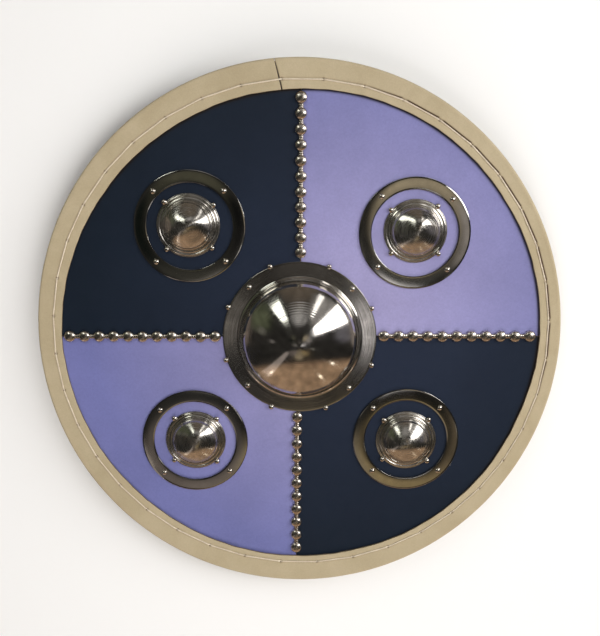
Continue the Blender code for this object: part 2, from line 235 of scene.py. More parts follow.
class Nodes:
    # a material and short ways to add the nodes used below
    def __init__(self, name, colour, roughness, metallic=0.0):
        self.material = bpy.data.materials.new(name)
        self.material.use_nodes = True
        self.tree = self.material.node_tree
        self.shader = self.tree.nodes["Principled BSDF"]
        self.set("Base Color", (*colour, 1))
        self.set("Roughness", roughness)
        self.set("Metallic", metallic)
        self.coords = self.add("ShaderNodeTexCoord")

    def set(self, socket, value):
        self.shader.inputs[socket].default_value = value

    def add(self, kind, inputs=None, **settings):
        return addNode(self.tree, kind, inputs, **settings)

    def link(self, output, socket):
        self.tree.links.new(output, self.shader.inputs[socket])

    def place(self, source="Object", location=(0, 0, 0), scale=(1, 1, 1), rotation=(0, 0, 0)):
        inputs = {"Vector": self.coords.outputs[source], "Location": location, "Scale": scale,
                  "Rotation": rotation}
        return self.add("ShaderNodeMapping", inputs).outputs[0]

    def noise(self, place, scale, detail=3.0, roughness=0.5, distortion=0.0):
        inputs = {"Vector": place, "Scale": scale, "Detail": detail, "Roughness": roughness,
                  "Distortion": distortion}
        return self.add("ShaderNodeTexNoise", inputs).outputs["Fac"]

    def cells(self, place, scale):
        inputs = {"Vector": place, "Scale": scale}
        return self.add("ShaderNodeTexVoronoi", inputs, feature="DISTANCE_TO_EDGE").outputs["Distance"]

    def mottled(self, place, scale, low, high, detail=3.0, roughness=0.5):
        # noise as a number that mostly stays between low and high
        return self.spread(self.noise(place, scale, detail, roughness), 0.3, 0.7, low, high)

    def math(self, operation, first, second=0.0):
        return self.add("ShaderNodeMath", {0: first, 1: second}, operation=operation).outputs[0]

    def spread(self, value, low, high, toLow, toHigh):
        # a value between low and high spread over a new range
        inputs = {"Value": value, "From Min": low, "From Max": high, "To Min": toLow, "To Max": toHigh}
        return self.add("ShaderNodeMapRange", inputs).outputs[0]

    def blend(self, share, first, second, mode="MIX"):
        # two colours, or a socket and a colour, blended by a share
        inputs = {0: share, 6: first, 7: second}
        return self.add("ShaderNodeMix", inputs, data_type="RGBA", blend_type=mode).outputs[2]

    def shaded(self, ground, shade):
        # a colour made darker or lighter by one number
        tone = self.add("ShaderNodeCombineColor", {0: shade, 1: shade, 2: shade}).outputs[0]
        return self.blend(1.0, ground, tone, "MULTIPLY")

    # the per-point mark: dirt in the board's plank grooves, painted shade on the facing and the binding
    def dirtAndShade(self):
        return self.add("ShaderNodeAttribute", attribute_name="dirtAndShade").outputs["Fac"]

    def bump(self, heights):
        # heights is a list of (socket, strength, distance in metres), each laid on the one before
        normal = None
        for height, strength, distance in heights:
            inputs = {"Height": height, "Strength": strength, "Distance": distance}
            if normal is not None:
                inputs["Normal"] = normal
            normal = self.add("ShaderNodeBump", inputs).outputs[0]
        self.link(normal, "Normal")


def dyedLeather(name, paintedLitColour, paintedShadeColour):
    # matte dyed leather with painted light and shade: paler and warmer right of the field's middle, where
    # more light falls, and painted shade deeper far from it
    m = Nodes(name, paintedLitColour, 0.6)
    m.set("Specular IOR Level", 0.25)
    place = m.place()
    # painted light falloff: the colour runs from the lit middle colour to the shaded edge colour with
    # distance from a point right of and below the middle
    flat = m.add("ShaderNodeVectorMath", {0: m.place(location=(-0.06, -0.03, 0)), 1: (1, 1, 0)},
                 operation="MULTIPLY").outputs[0]
    distance = m.add("ShaderNodeVectorMath", {0: flat}, operation="LENGTH").outputs["Value"]
    ground = m.blend(m.spread(distance, 0.05, 0.31, 0, 1), paintedLitColour, paintedShadeColour)
    cloudy, speckle = m.mottled(place, 9, 0.90, 1.10, 4, 0.6), m.mottled(place, 420, 0.94, 1.06, 3, 0.7)
    shade = m.math("MULTIPLY", cloudy, speckle)
    m.link(m.blend(m.dirtAndShade(), m.shaded(ground, shade), (0.012, 0.009, 0.008)), "Base Color")
    m.link(m.mottled(place, 60, 0.52, 0.70), "Roughness")
    m.bump([
        (m.noise(place, 55, 3), 0.25, 0.4 * mm),
        (m.cells(place, 760), 0.35, 0.12 * mm),
        (m.noise(place, 2200, 2), 0.30, 0.05 * mm),
    ])
    return m.material


def tanLeather():
    # undyed vegetable leather: faint mottling, darker where the point mark paints shade in the stitch holes,
    # beside the thread and in the joint's gap, and along the cut edge
    m = Nodes("tanLeather", (0.45, 0.37, 0.24), 0.6)
    m.set("Specular IOR Level", 0.35)
    place = m.place()
    cloudy = m.noise(place, 16, 4, 0.6, 0.4)
    ground = m.blend(m.spread(cloudy, 0.32, 0.68, 0, 1), (0.42, 0.345, 0.220), (0.48, 0.40, 0.265))
    ground = m.shaded(ground, m.mottled(place, 700, 0.93, 1.05, 3, 0.7))
    m.link(m.blend(m.dirtAndShade(), ground, (0.07, 0.038, 0.020)), "Base Color")
    m.link(m.mottled(place, 90, 0.50, 0.68), "Roughness")
    m.bump([
        (m.noise(place, 70, 4), 0.30, 0.5 * mm),
        (m.cells(place, 900), 0.30, 0.10 * mm),
        (m.noise(place, 2600, 2), 0.30, 0.05 * mm),
    ])
    return m.material


def waxedThread():
    m = Nodes("waxedThread", (0.72, 0.62, 0.50), 0.55)
    place = m.place()
    m.link(m.blend(m.mottled(place, 130, 0, 1), (0.62, 0.53, 0.41), (0.76, 0.67, 0.54)), "Base Color")
    m.link(m.mottled(place, 300, 0.45, 0.65), "Roughness")
    m.bump([(m.noise(place, 2400, 3), 0.5, 0.08 * mm)])
    return m.material


def spunSteel(name, colour, lineHaze, smudge):
    # polished steel with fine lines round the piece, left by spinning: bright ones beside hazy
    # ones, and faint smudges over them
    m = Nodes(name, colour, 0.16, 1.0)
    m.set("Anisotropic", 0.7)
    m.set("Anisotropic Rotation", 0.25)
    m.link(m.add("ShaderNodeTangent", direction_type="UV_MAP", uv_map="surface").outputs[0], "Tangent")
    lines = m.noise(m.place("UV", scale=(7, 1500, 1)), 1.0, 4, 0.6)
    broad = m.noise(m.place("UV", scale=(3, 190, 1)), 1.0, 2, 0.5)
    haze = m.noise(m.place(), 38, 4, 0.6, 0.3)
    dull = tuple(0.86 * part for part in colour)
    m.link(m.blend(m.spread(haze, 0.35, 0.7, 0, 1), colour, dull), "Base Color")
    polished = m.spread(lines, 0.40, 0.60, 0.06, lineHaze)
    m.link(m.math("ADD", polished, m.spread(haze, 0.3, 0.75, 0, smudge)), "Roughness")
    m.bump([(broad, 0.05, 0.10 * mm), (lines, 0.10, 0.03 * mm)])
    return m.material


def nickel(name, colour, smooth, rough):
    # bright nickel, slightly warm, with fine handling scratches
    m = Nodes(name, colour, 0.14, 1.0)
    place = m.place()
    haze = m.noise(place, 240, 3, 0.6)
    dull = tuple(0.84 * part for part in colour)
    m.link(m.blend(m.spread(haze, 0.3, 0.7, 0, 1), colour, dull), "Base Color")
    m.link(m.spread(haze, 0.3, 0.7, smooth, rough), "Roughness")
    m.bump([(m.noise(place, 900, 3, 0.6), 0.08, 0.06 * mm)])
    return m.material


def paleWood(name, along, plankWidth):
    # pale wood with its grain along one axis, and each plank in a tone of its own
    m = Nodes(name, (0.50, 0.34, 0.20), 0.6)
    stretch = (14, 1, 14) if along == "Y" else (1, 14, 14)
    place = m.place(scale=stretch)
    across = m.add("ShaderNodeSeparateXYZ", {0: m.place()}).outputs["X"]
    plank = m.math("FLOOR", m.math("DIVIDE", across, plankWidth))
    own = m.add("ShaderNodeTexWhiteNoise", {"W": plank}, noise_dimensions="1D").outputs["Value"]
    shift = m.add("ShaderNodeCombineXYZ", {2: m.math("MULTIPLY", own, 9.0)}).outputs[0]
    shifted = m.add("ShaderNodeVectorMath", {0: place, 1: shift}, operation="ADD").outputs[0]
    rings = m.noise(shifted, 5, 5, 0.6, 1.2)
    fibres = m.noise(m.place(scale=tuple(part * 5 for part in stretch)), 7, 4, 0.7)
    ground = m.blend(m.spread(rings, 0.35, 0.65, 0, 1), (0.36, 0.225, 0.115), (0.56, 0.385, 0.225))
    shade = m.math("MULTIPLY", m.spread(fibres, 0.3, 0.7, 0.84, 1.08), m.spread(own, 0, 1, 0.86, 1.08))
    m.link(m.blend(m.dirtAndShade(), m.shaded(ground, shade), (0.10, 0.055, 0.025)), "Base Color")
    m.link(m.spread(fibres, 0.3, 0.7, 0.48, 0.66), "Roughness")
    m.bump([(rings, 0.15, 0.3 * mm), (fibres, 0.35, 0.12 * mm)])
    return m.material


finishes = {
    # navy and lavender each run from a painted lit middle colour to a painted shaded edge colour
    "navy": dyedLeather("navyLeather", (0.0125, 0.0190, 0.0390), (0.0055, 0.0105, 0.0200)),
    "lavender": dyedLeather("lavenderLeather", (0.312, 0.290, 0.505), (0.155, 0.165, 0.380)),
    "tan": tanLeather(),
    "thread": waxedThread(),
    "bossSteel": spunSteel("bossSteel", (0.70, 0.67, 0.63), 0.15, 0.07),
    "cornerSteel": spunSteel("cornerSteel", (0.72, 0.69, 0.64), 0.26, 0.12),
    "ringSteel": spunSteel("ringSteel", (0.66, 0.64, 0.60), 0.07, 0.05),
    "studNickel": nickel("studNickel", (0.80, 0.73, 0.65), 0.20, 0.31),
    "nailNickel": nickel("nailNickel", (0.82, 0.77, 0.70), 0.10, 0.18),
    "boardWood": paleWood("boardWood", "Y", 0.1015),
    "gripWood": paleWood("gripWood", "X", 1.0),
}
print("materials ready")


# The wooden board: glued planks that run up and down, with a hand hole

board = {
    "holeRadius": 0.060, "plankWidth": 0.1015, "rows": 22, "columns": 90,
    "grooveDepth": 0.0007, "grooveHalfWidth": 0.0009, "soiledGroove": 0.8,
}


def buildBoard():
    # Each half is a grid over x and the share from an inner to an outer line: the hole's arc or the
    # middle line, to the oval. The back dips in a V where two planks meet.
    low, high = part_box("board")
    halfWidth, halfHeight = (high.x - low.x) / 2, (high.y - low.y) / 2
    hole = board["holeRadius"]
    groove = board["grooveHalfWidth"]
    joints = np.arange(-2, 3) * board["plankWidth"]
    evenly = halfWidth * np.sin(np.linspace(-math.pi / 2, math.pi / 2, board["columns"]))
    nearJoints = (joints[:, None] + groove * np.array([-1.0, -0.5, 0.0, 0.5, 1.0])).ravel()
    holeArc = hole * np.sin(np.linspace(-math.pi / 2, math.pi / 2, 33))
    x = np.unique(np.round(np.concatenate([evenly, nearJoints, holeArc]), 6))
    x = x[np.concatenate([[True], np.diff(x) > 1e-5])]
    x[np.abs(x - hole).argmin()], x[np.abs(x + hole).argmin()] = hole, -hole
    inner = np.sqrt(np.clip(hole ** 2 - x ** 2, 0, None))
    outer = halfHeight * np.sqrt(np.clip(1 - (x / halfWidth) ** 2, 0, None))
    outer[[0, -1]] = 0  # the left and right tips close to one edge
    away = np.abs(x[:, None] - joints).min(axis=1)
    dip = board["grooveDepth"] * np.clip(1 - away / groove, 0, 1)
    share = np.linspace(0, 1, board["rows"])
    y = inner[:, None] + (outer - inner)[:, None] * share
    back = gridPoints(x[:, None], y, (low.z + dip)[:, None])
    front = gridPoints(x[:, None], y, high.z)
    loop = np.concatenate([back, front[:, ::-1]], axis=1)
    dirtAndShadow = board["soiledGroove"] * (dip / board["grooveDepth"])[:, None]
    marks = np.concatenate([dirtAndShadow + 0 * y, 0 * y], axis=1)
    surfaces = []
    for side in (1, -1):
        half = gridSurface(loop * (1, side, 1), closeColumns=True, marks=marks)
        # the wall between the two halves is left out where there is wood on both sides of it
        columns = loop.shape[1]
        cells = len(half["faces"])
        rowOf = np.arange(cells) // columns
        lastColumn = np.arange(cells) % columns == columns - 1
        solid = (inner[:-1] < 1e-9) & (inner[1:] < 1e-9)
        keep = ~(lastColumn & solid[rowOf])
        half["faces"] = [face for face, kept in zip(half["faces"], keep) if kept]
        half["corners"] = half["corners"].reshape(-1, 4, 2)[keep].reshape(-1, 2)
        surfaces.append(half)
    addPiece("boardPlanks", surfaces, finishes["boardWood"], ["board"], 30)


# The hand grip: a bar across the back, slimmer and rounder where the hand holds it

grip = {
    "endWidth": 0.042, "handWidth": 0.032, "handHalfLength": 0.056, "taperLength": 0.036,
    "endRounding": 0.005, "endSquareness": 6.0, "handSquareness": 2.7, "around": 48,
}


def buildGrip():
    # Cross sections are squared ovals, |y / half width|^n + |z / half height|^n = 1, and n falls
    # from the ends to the hand.
    low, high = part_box("hand_grip")
    reach = (high.x - low.x) / 2
    halfHeight = (high.z - low.z) / 2
    ends = grip["endRounding"] * np.array([0.0, 0.08, 0.3, 0.6, 1.0])
    middle = np.linspace(-(reach - 2 * grip["endRounding"]), reach - 2 * grip["endRounding"], 73)
    x = np.concatenate([-(reach - ends), middle, (reach - ends)[::-1]])
    past = smoothStep(np.abs(x), grip["handHalfLength"], grip["handHalfLength"] + grip["taperLength"])
    halfWidth = (grip["handWidth"] + past * (grip["endWidth"] - grip["handWidth"])) / 2
    squareness = grip["handSquareness"] + past * (grip["endSquareness"] - grip["handSquareness"])
    left = np.clip((reach - np.abs(x)) / grip["endRounding"], 0, 1)
    draw = grip["endRounding"] * (1 - np.sqrt(1 - (1 - left) ** 2)) * 0.5
    angle = np.linspace(0, turn, grip["around"], endpoint=False)
    power = (2 / squareness)[:, None]
    across = np.sign(np.cos(angle)) * np.abs(np.cos(angle)) ** power
    up = np.sign(np.sin(angle)) * np.abs(np.sin(angle)) ** power
    y = (halfWidth - draw)[:, None] * across
    z = halfHeight + (halfHeight - draw)[:, None] * up
    points = gridPoints(x[:, None], y, z)
    heart = (0, 0, halfHeight)
    capped = np.concatenate([points[:1] * (1, 0, 0) + heart, points, points[-1:] * (1, 0, 0) + heart])
    addPiece("handGripBar", [gridSurface(capped, closeColumns=True)], finishes["gripWood"],
             ["hand_grip"], 40)


buildBoard()
buildGrip()
print("board and grip ready")


# The stud strips' lines, which the seams of the leather follow

strips = {
    "top": {"angle": 90, "sideAtBoss": -1.3 * mm, "sideAtEdge": -1.9 * mm},
    "left": {"angle": 180, "sideAtBoss": 0.0, "sideAtEdge": 0.0},
    "bottom": {"angle": 270, "sideAtBoss": -2.9 * mm, "sideAtEdge": -4.3 * mm},
    "right": {"angle": 0, "sideAtBoss": 0.8 * mm, "sideAtEdge": 0.8 * mm},
}
firstStud = 0.0989
lastStud = 0.2693


def stripSide(strip, distance):
    # how far a strip's line stands off its true line at a distance from the cross's middle
    share = (distance - firstStud) / (lastStud - firstStud)
    return strip["sideAtBoss"] + share * (strip["sideAtEdge"] - strip["sideAtBoss"])


# Four quarters of leather facing, each a thin skin with softly rounded edges

facing = {
    "innerRadius": 0.061, "edgeInset": 0.0043, "seamGap": 0.0008, "edgeRounding": 0.0006,
    "unevenness": 0.00012, "rows": 70, "columns": 84,
    "fineFrom": 0.2720, "fineTo": 0.2850, "fineRows": 27,  # closer rows under the flap's edge
    "shadowLine": 0.0019, "shadowShare": 0.95,
    "shadowTowards": 55,  # degrees from +X, where the painted shadow line along the flap is strongest
}
quarters = {
    "upper_right": ("right", "top", "lavender"),
    "upper_left": ("top", "left", "navy"),
    "lower_left": ("left", "bottom", "lavender"),
    "lower_right": ("bottom", "right", "navy"),
}


def seamAngle(strip, radius, side):
    # the angle of a quarter's edge under a strip, half a gap from the strip's line
    line = math.radians(strip["angle"])
    cross = outline["crossMiddle"] @ np.array([-math.sin(line), math.cos(line)])
    return line + np.arcsin((stripSide(strip, radius) + cross + side * facing["seamGap"] / 2) / radius)


def buildFacing(name, firstStrip, secondStrip, finish):
    # A grid over the radius and the arc between two seams. The top sinks to the middle of the
    # leather's thickness along every edge, where it meets the underside.
    low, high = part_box("facing_" + name)
    rounding = facing["edgeRounding"]
    edge = rounding * np.array([0.0, 0.12, 0.4, 1.0])
    outerRadius = (outline["halfWidth"] + outline["halfHeight"]) / 2 - facing["edgeInset"]
    radius = np.concatenate([
        facing["innerRadius"] + edge,
        np.linspace(facing["innerRadius"] + 2 * rounding, facing["fineFrom"], facing["rows"]),
        np.linspace(facing["fineFrom"], facing["fineTo"], facing["fineRows"])[1:],
        np.linspace(facing["fineTo"], outerRadius - 2 * rounding, 8)[1:],
        outerRadius - edge[::-1],
    ])[:, None]
    start, end = seamAngle(firstStrip, radius, 1), seamAngle(secondStrip, radius, -1)
    arc = ((end - start) % turn) * radius
    share = np.linspace(0, 1, facing["columns"])
    along = np.concatenate([
        edge + 0 * arc, 2 * rounding + (arc - 4 * rounding) * share, arc - edge[::-1],
    ], axis=1)
    angle = start + along / radius
    stretch = (outline["halfHeight"] - outline["halfWidth"]) / 2
    oval = radius - stretch * np.cos(2 * angle) * (radius / outerRadius) ** 6
    toEdge = np.minimum(np.minimum(along, arc - along),
                        np.minimum(radius - facing["innerRadius"], outerRadius - radius))
    full = np.sqrt(np.clip(1 - (1 - np.clip(toEdge / rounding, 0, 1)) ** 2, 0, 1))
    x, y = oval * np.cos(angle), oval * np.sin(angle)
    waves = np.sin(31 * x + 4 * np.sin(17 * y)) + np.sin(43 * y - 3 * np.sin(23 * x) + 1.3)
    sink = facing["unevenness"] * (0.5 - waves / 4) * full
    middle, half = (low.z + high.z) / 2, (high.z - low.z) / 2
    top = gridPoints(x, y, middle + half * full - sink)
    under = gridPoints(x, y, middle - half * full)
    loop = np.concatenate([top, under[:, ::-1]], axis=1)
    # painted shadow: a near-black line on the facing along the flap's edge, strongest towards the upper
    # right, where the flap's shade falls
    dirtAndShadow = smoothStep(np.cos(angle - math.radians(facing["shadowTowards"])), -0.35, 0.25)
    line = np.exp(-((flapEdge(angle) - 0.0006 - oval) / facing["shadowLine"]) ** 2)
    marks = np.concatenate([facing["shadowShare"] * dirtAndShadow * line, 0 * line], axis=1)
    surface = gridSurface(loop, closeColumns=True, marks=marks)
    node = "facing_" + name
    addPiece(node + "_leather", [surface], finishes[finish], [node], 50)


for name, (firstName, secondName, finish) in quarters.items():
    buildFacing(name, strips[firstName], strips[secondName], finish)
print("facing ready")


# The leather binding: one strip folded round the edge, its ends meeting in a slanted butt joint

stitching = {
    "count": 40, "radius": 0.2890,
    "firstAngle": 4.05,  # degrees, round the middle of the field
    "threadWidth": 0.0015, "threadHeight": 0.0012, "twist": 0.0034, "dip": 0.0016,
    "grooveDepth": 0.00035, "grooveHalfWidth": 0.0013, "holeDepth": 0.0010, "holeRadius": 0.0013,
    "puckerHeight": 0.00022, "puckerReach": 0.0034, "puckerWidth": 0.0013,
}
binding = {
    "thickness": 0.0025, "backWidth": 0.028, "outerRounding": 0.0030, "cutRounding": 0.0006,
    "jointTurn": 3.8, "jointSlant": 1.2, "jointReach": 0.033, "jointGap": 0.0009, "jointDip": 0.0007,
    "edgeWave": 0.00035, "edgeLift": 0.0007, "rolling": 0.00012, "innerPart": 0.015,
    "shadowTowards": 30,  # degrees from +X, where the dark line beside the thread is strongest
    # mm in from the flap's end, on its back, and along it from each hole
    "across": (1.2, 2.4, 4.0, 5.6, 7.0, 8.0, 8.6, 9.1, 9.5, 9.9, 10.2, 10.5, 10.8, 11.1, 11.4, 11.8,
               12.3, 13.0, 14.0),
    "acrossBack": (6, 9, 12, 14, 15, 15.6, 16.1, 16.5, 16.9, 17.3, 17.8, 18.5, 20, 23, 26),
    "besideHole": (0, 0.45, 0.9, 1.4, 2.0, 2.8, 4.0, 6.0, 9.0, 12.5, 16.0, 19.5),
}


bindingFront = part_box("edge_binding")[1].z
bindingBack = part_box("edge_binding")[0].z


def stitchPlace(x, y):
    # For points on the flap: their distance outwards from the straight line between two holes,
    # their distance from the nearest hole, and which stitch they are beside with its share run.
    dx, dy = x - outline["fieldMiddle"][0], y - outline["fieldMiddle"][1]
    away = np.hypot(dx, dy)
    pitch = turn / stitching["count"]
    run = (np.arctan2(dy, dx) - math.radians(stitching["firstAngle"])) / pitch
    share = run % 1.0
    chord = stitching["radius"] * math.cos(pitch / 2) / np.cos((share - 0.5) * pitch)
    fromHole = (share - np.round(share)) * pitch * stitching["radius"]
    toHole = np.hypot(away - stitching["radius"], fromHole)
    return away - chord, toHole, np.floor(run).astype(int) % stitching["count"], share


def bindingSection():
    # One place along the strip, as rows of (share outwards, distance from the inner edge, inset
    # from the outline, height, shows on top), once round from the cut edge over the outside.
    front, back = bindingFront, bindingBack
    leather, cut, curve = binding["thickness"], binding["cutRounding"], binding["outerRounding"]
    under = front - leather
    inner = binding["innerPart"]
    quarter = np.linspace(0, math.pi / 2, 7)
    rows = [(0, 0, 0, under, 0), (0, 0, 0, under + leather / 2, 0)]
    rows += [(0, cut * (1 - math.cos(a)), 0, front - cut * (1 - math.sin(a)), 1) for a in quarter[1:]]
    rows += [(0, e * mm, 0, front, 1) for e in binding["across"]]
    rows += [(share, inner, curve, front, 1) for share in (0.0, 0.25, 0.5, 0.75)]
    rows += [(1, 0, curve * (1 - math.sin(a)), front - curve * (1 - math.cos(a)), 0.3) for a in quarter]
    rows += [(1, 0, 0, front + (back - front) * share, 0) for share in (0.35, 0.5, 0.65)]
    rows += [(1, 0, curve * (1 - math.cos(a)), back + curve * (1 - math.sin(a)), 0) for a in quarter]
    rows += [(1, 0, inset * mm, back, -1) for inset in binding["acrossBack"]]
    last = binding["backWidth"]
    rows += [(1, 0, last - cut, back, -1), (1, 0, last, back + cut, 0), (1, 0, last, back + leather, 0)]
    rows += [(1, 0, leather, back + leather, 0), (1, 0, leather, under, 0), (0, 0.008, 0, under, 0)]
    return np.array(rows, float)


def buildBinding():
    # Radius = (1 - share) (field radius + distance) + share (outline radius - inset), and the
    # height is the section's, lowered by the stitch groove, holes and joint, raised by puckers.
    section = bindingSection()
    share, distance, inset, height, shows = section.T
    pitch = turn / stitching["count"]
    near = np.array(binding["besideHole"]) * mm / stitching["radius"]
    period = np.concatenate([near, (pitch - near[:0:-1])])
    holes = math.radians(stitching["firstAngle"]) + pitch * np.arange(stitching["count"])
    angles = (holes[:, None] + period).ravel()
    jointStart = math.radians(90 + binding["jointTurn"])
    halfGap = binding["jointGap"] / 2 / outline["halfHeight"]
    ends = np.array([0.0, 0.25, 0.6, 1.1, 1.8]) * mm / outline["halfHeight"]
    run = (angles - jointStart) % turn
    run = run[(run > ends[-1] * 1.2 + halfGap) & (run < turn - ends[-1] * 1.2 - halfGap)]
    run = np.sort(np.concatenate([run, halfGap + ends, turn - halfGap - ends]))[:, None]
    reach = (1 - share) * distance + share * (binding["jointReach"] - inset)
    lean = math.radians(binding["jointSlant"]) * reach / binding["jointReach"]
    fade = np.exp(-np.minimum(run, turn - run) / 0.05)
    # the two ends meet outside, so that the joint is an open V only on the front
    closing = 0.6 * halfGap * share * np.where(run < math.pi, -1, 1)
    theta = jointStart + run + (lean + closing) * fade
    outer = ovalRadius(theta, outline["halfWidth"], outline["halfHeight"])
    inner = flapEdge(theta)
    phases = randomNumbers.uniform(0, turn, 6)
    waves = zip((7, 13, 23, 40, 57, 83), phases, (2.4, 2.6, 3, 3, 4, 4))
    wave = sum(np.sin(count * theta + phase) / calm for count, phase, calm in waves)
    nearEdge = smoothStep(0.008 - distance, 0, 0.008) * (share < 1)
    radius = (1 - share) * (inner + distance) + share * (outer - inset)
    radius = radius + binding["edgeWave"] * wave * nearEdge * (1 - share)
    x, y = radius * np.cos(theta), radius * np.sin(theta)
    offLine, toHole, stitch, along = stitchPlace(x, y)
    lifts = randomNumbers.uniform(0.1, 1.0, stitching["count"]) ** 1.5
    lift = binding["edgeLift"] * lifts[stitch] * np.sin(math.pi * along) ** 2 * nearEdge
    groove = stitching["grooveDepth"] * np.exp(-(offLine / stitching["grooveHalfWidth"]) ** 2)
    hole = stitching["holeDepth"] * np.exp(-(toHole / stitching["holeRadius"]) ** 2)
    fromPucker = (toHole - stitching["puckerReach"]) / stitching["puckerWidth"]
    pucker = stitching["puckerHeight"] * np.exp(-fromPucker ** 2)
    toJoint = np.minimum(run, turn - run) * outline["halfHeight"]
    joint = binding["jointDip"] * np.exp(-(toJoint / 0.0009) ** 2)
    rolling = binding["rolling"] * (np.sin(61 * theta + 2.0) + np.sin(97 * theta + 300 * distance) - 2)
    points = gridPoints(x, y, height + shows * (pucker + rolling - groove - hole - joint) + lift)
    lengths = np.concatenate([[0], np.cumsum(np.hypot(np.diff(inset - distance), np.diff(height)))])
    uv = np.stack(np.broadcast_arrays(run / turn, np.append(lengths, lengths[-1])), axis=-1)
    cutEdge = 0.75 * ((distance < 0.0004) & (share < 1) & (height < height.max() - 0.0004))
    shadow = 0.12 + 1.4 * smoothStep(np.cos(theta - math.radians(binding["shadowTowards"])), 0.62, 0.9)
    shadow = shadow * smoothStep(along, 0.01, 0.07) * smoothStep(1 - along, 0.03, 0.12)
    shadow = shadow * np.exp(-((offLine - 0.0015) / 0.0010) ** 2)
    # painted shade: dark spots in the stitch holes, too small to model, the shadow line beside the thread,
    # and the dark gap of the joint; the cut edge is darker too
    holeShade = 1.3 * np.exp(-(toHole / 0.0014) ** 2)
    dark = (holeShade + shadow) * np.abs(shows) + cutEdge + 1.6 * np.exp(-(toJoint / 0.0007) ** 2)
    surface = gridSurface(points, closeColumns=True, capEnds=True, uv=uv, marks=np.clip(dark, 0, 1))
    addPiece("bindingLeather", [surface], finishes["tan"], ["edge_binding"], 50, weld=1e-7)


def buildThread(name, level, side, node):
    # Every stitch is a two-ply cord from hole to hole: an oval tube whose radius swells and
    # shrinks as the plies wind, and whose ends go down into the leather.
    pitch = turn / stitching["count"]
    holes = math.radians(stitching["firstAngle"]) + pitch * np.arange(stitching["count"] + 1)
    corners = outline["fieldMiddle"] + stitching["radius"] * np.stack([np.cos(holes), np.sin(holes)], axis=-1)
    nearEnd = np.array([0, 0.006, 0.014, 0.024, 0.04])
    share = np.concatenate([nearEnd, np.linspace(0.07, 0.93, 23), 1 - nearEnd[::-1]])
    angle = np.linspace(0, turn, 8, endpoint=False)
    surfaces = []
    for start, end in zip(corners, corners[1:]):
        length = np.linalg.norm(end - start)
        outwards = np.array([end[1] - start[1], start[0] - end[0]]) / length
        fromEnd = np.minimum(share, 1 - share) * length
        sink = stitching["dip"] * np.exp(-(fromEnd / 0.0010) ** 2)
        ply = 1 + 0.13 * np.cos(2 * angle - turn * share[:, None] * length / stitching["twist"])
        sideways = stitching["threadWidth"] / 2 * ply * np.cos(angle)
        up = stitching["threadHeight"] / 2 * (1 + ply * np.sin(angle)) - sink[:, None]
        line = start + (end - start) * share[:, None]
        points = np.concatenate([
            line[:, None] + outwards * sideways[..., None], (level + side * up)[..., None],
        ], axis=-1)
        surfaces.append(gridSurface(points, closeColumns=True, capEnds=True))
    addPiece(name, surfaces, finishes["thread"], [node], 60, weld=1e-7)


buildBinding()
buildThread("threadFront", bindingFront - 0.0006, 1, "thread_front")
buildThread("threadBack", bindingBack + 0.0006, -1, "thread_back")
print("binding and stitches ready")


# Steel bosses, each a hollow turned shell with a dome, a steep wall, a bead and a flat flange

centreBoss = {
    "finish": "bossSteel", "steps": 224, "finest": 0.0004, "sheet": 0.0015,
    "beadRadius": 0.0708, "beadWidth": 0.0040, "beadHeight": 0.0016,
    "shoulderRadius": 0.0602, "shoulderHeight": 0.0196, "shoulderRounding": 0.0018, "domeCurve": 2.0,
    "ledges": ((0.0634, 0.0168), (0.0663, 0.0122)), "ledgeRounding": 0.0015, "ridges": (),
    "ripple": 0.000007, "ripplePitch": 0.0023, "dents": 0.00022, "dentPhase": 1.1, "twist": 14,
    "grooves": (0.0362, 0.0391, 0.0417, 0.0443, 0.0468), "grooveDepth": 0.000110, "grooveAngle": 89,
}
cornerBoss = {
    "finish": "cornerSteel", "steps": 144, "finest": 0.0005, "sheet": 0.0012,
    "beadRadius": 0.0300, "beadWidth": 0.0028, "beadHeight": 0.0010,
    "shoulderRadius": 0.0255, "shoulderHeight": 0.0085, "shoulderRounding": 0.0009, "domeCurve": 2.0,
    "ledges": ((0.0266, 0.0058), (0.0276, 0.0052)), "ledgeRounding": 0.0004,
    "ridges": ((0.0324, 0.0012), (0.0331, 0.00165), (0.0340, 0.00165), (0.0347, 0.0012)),
    "ripple": 0.000006, "ripplePitch": 0.0017,
    "grooves": (0.0141, 0.0186, 0.0212), "grooveDepth": 0.000030, "grooveAngle": 150,
}
# each small dome is a little longer one way, which draws out what it mirrors
cornerBosses = {
    "upper_left": {"dents": 0.0022, "dentPhase": 0.10, "twist": 60},
    "upper_right": {"dents": 0.0023, "dentPhase": -1.22, "twist": 20},
    "lower_left": {"dents": 0.0021, "dentPhase": -1.57, "twist": 40},
    "lower_right": {"dents": 0.0012, "dentPhase": 1.40, "twist": 0, "domeCurve": 2.2},
}
dentShares = {"reach": 0.72, "twofold": 2.2, "onefold": 0.8, "threefold": 1.0, "grooveHalfWidth": 0.0006}


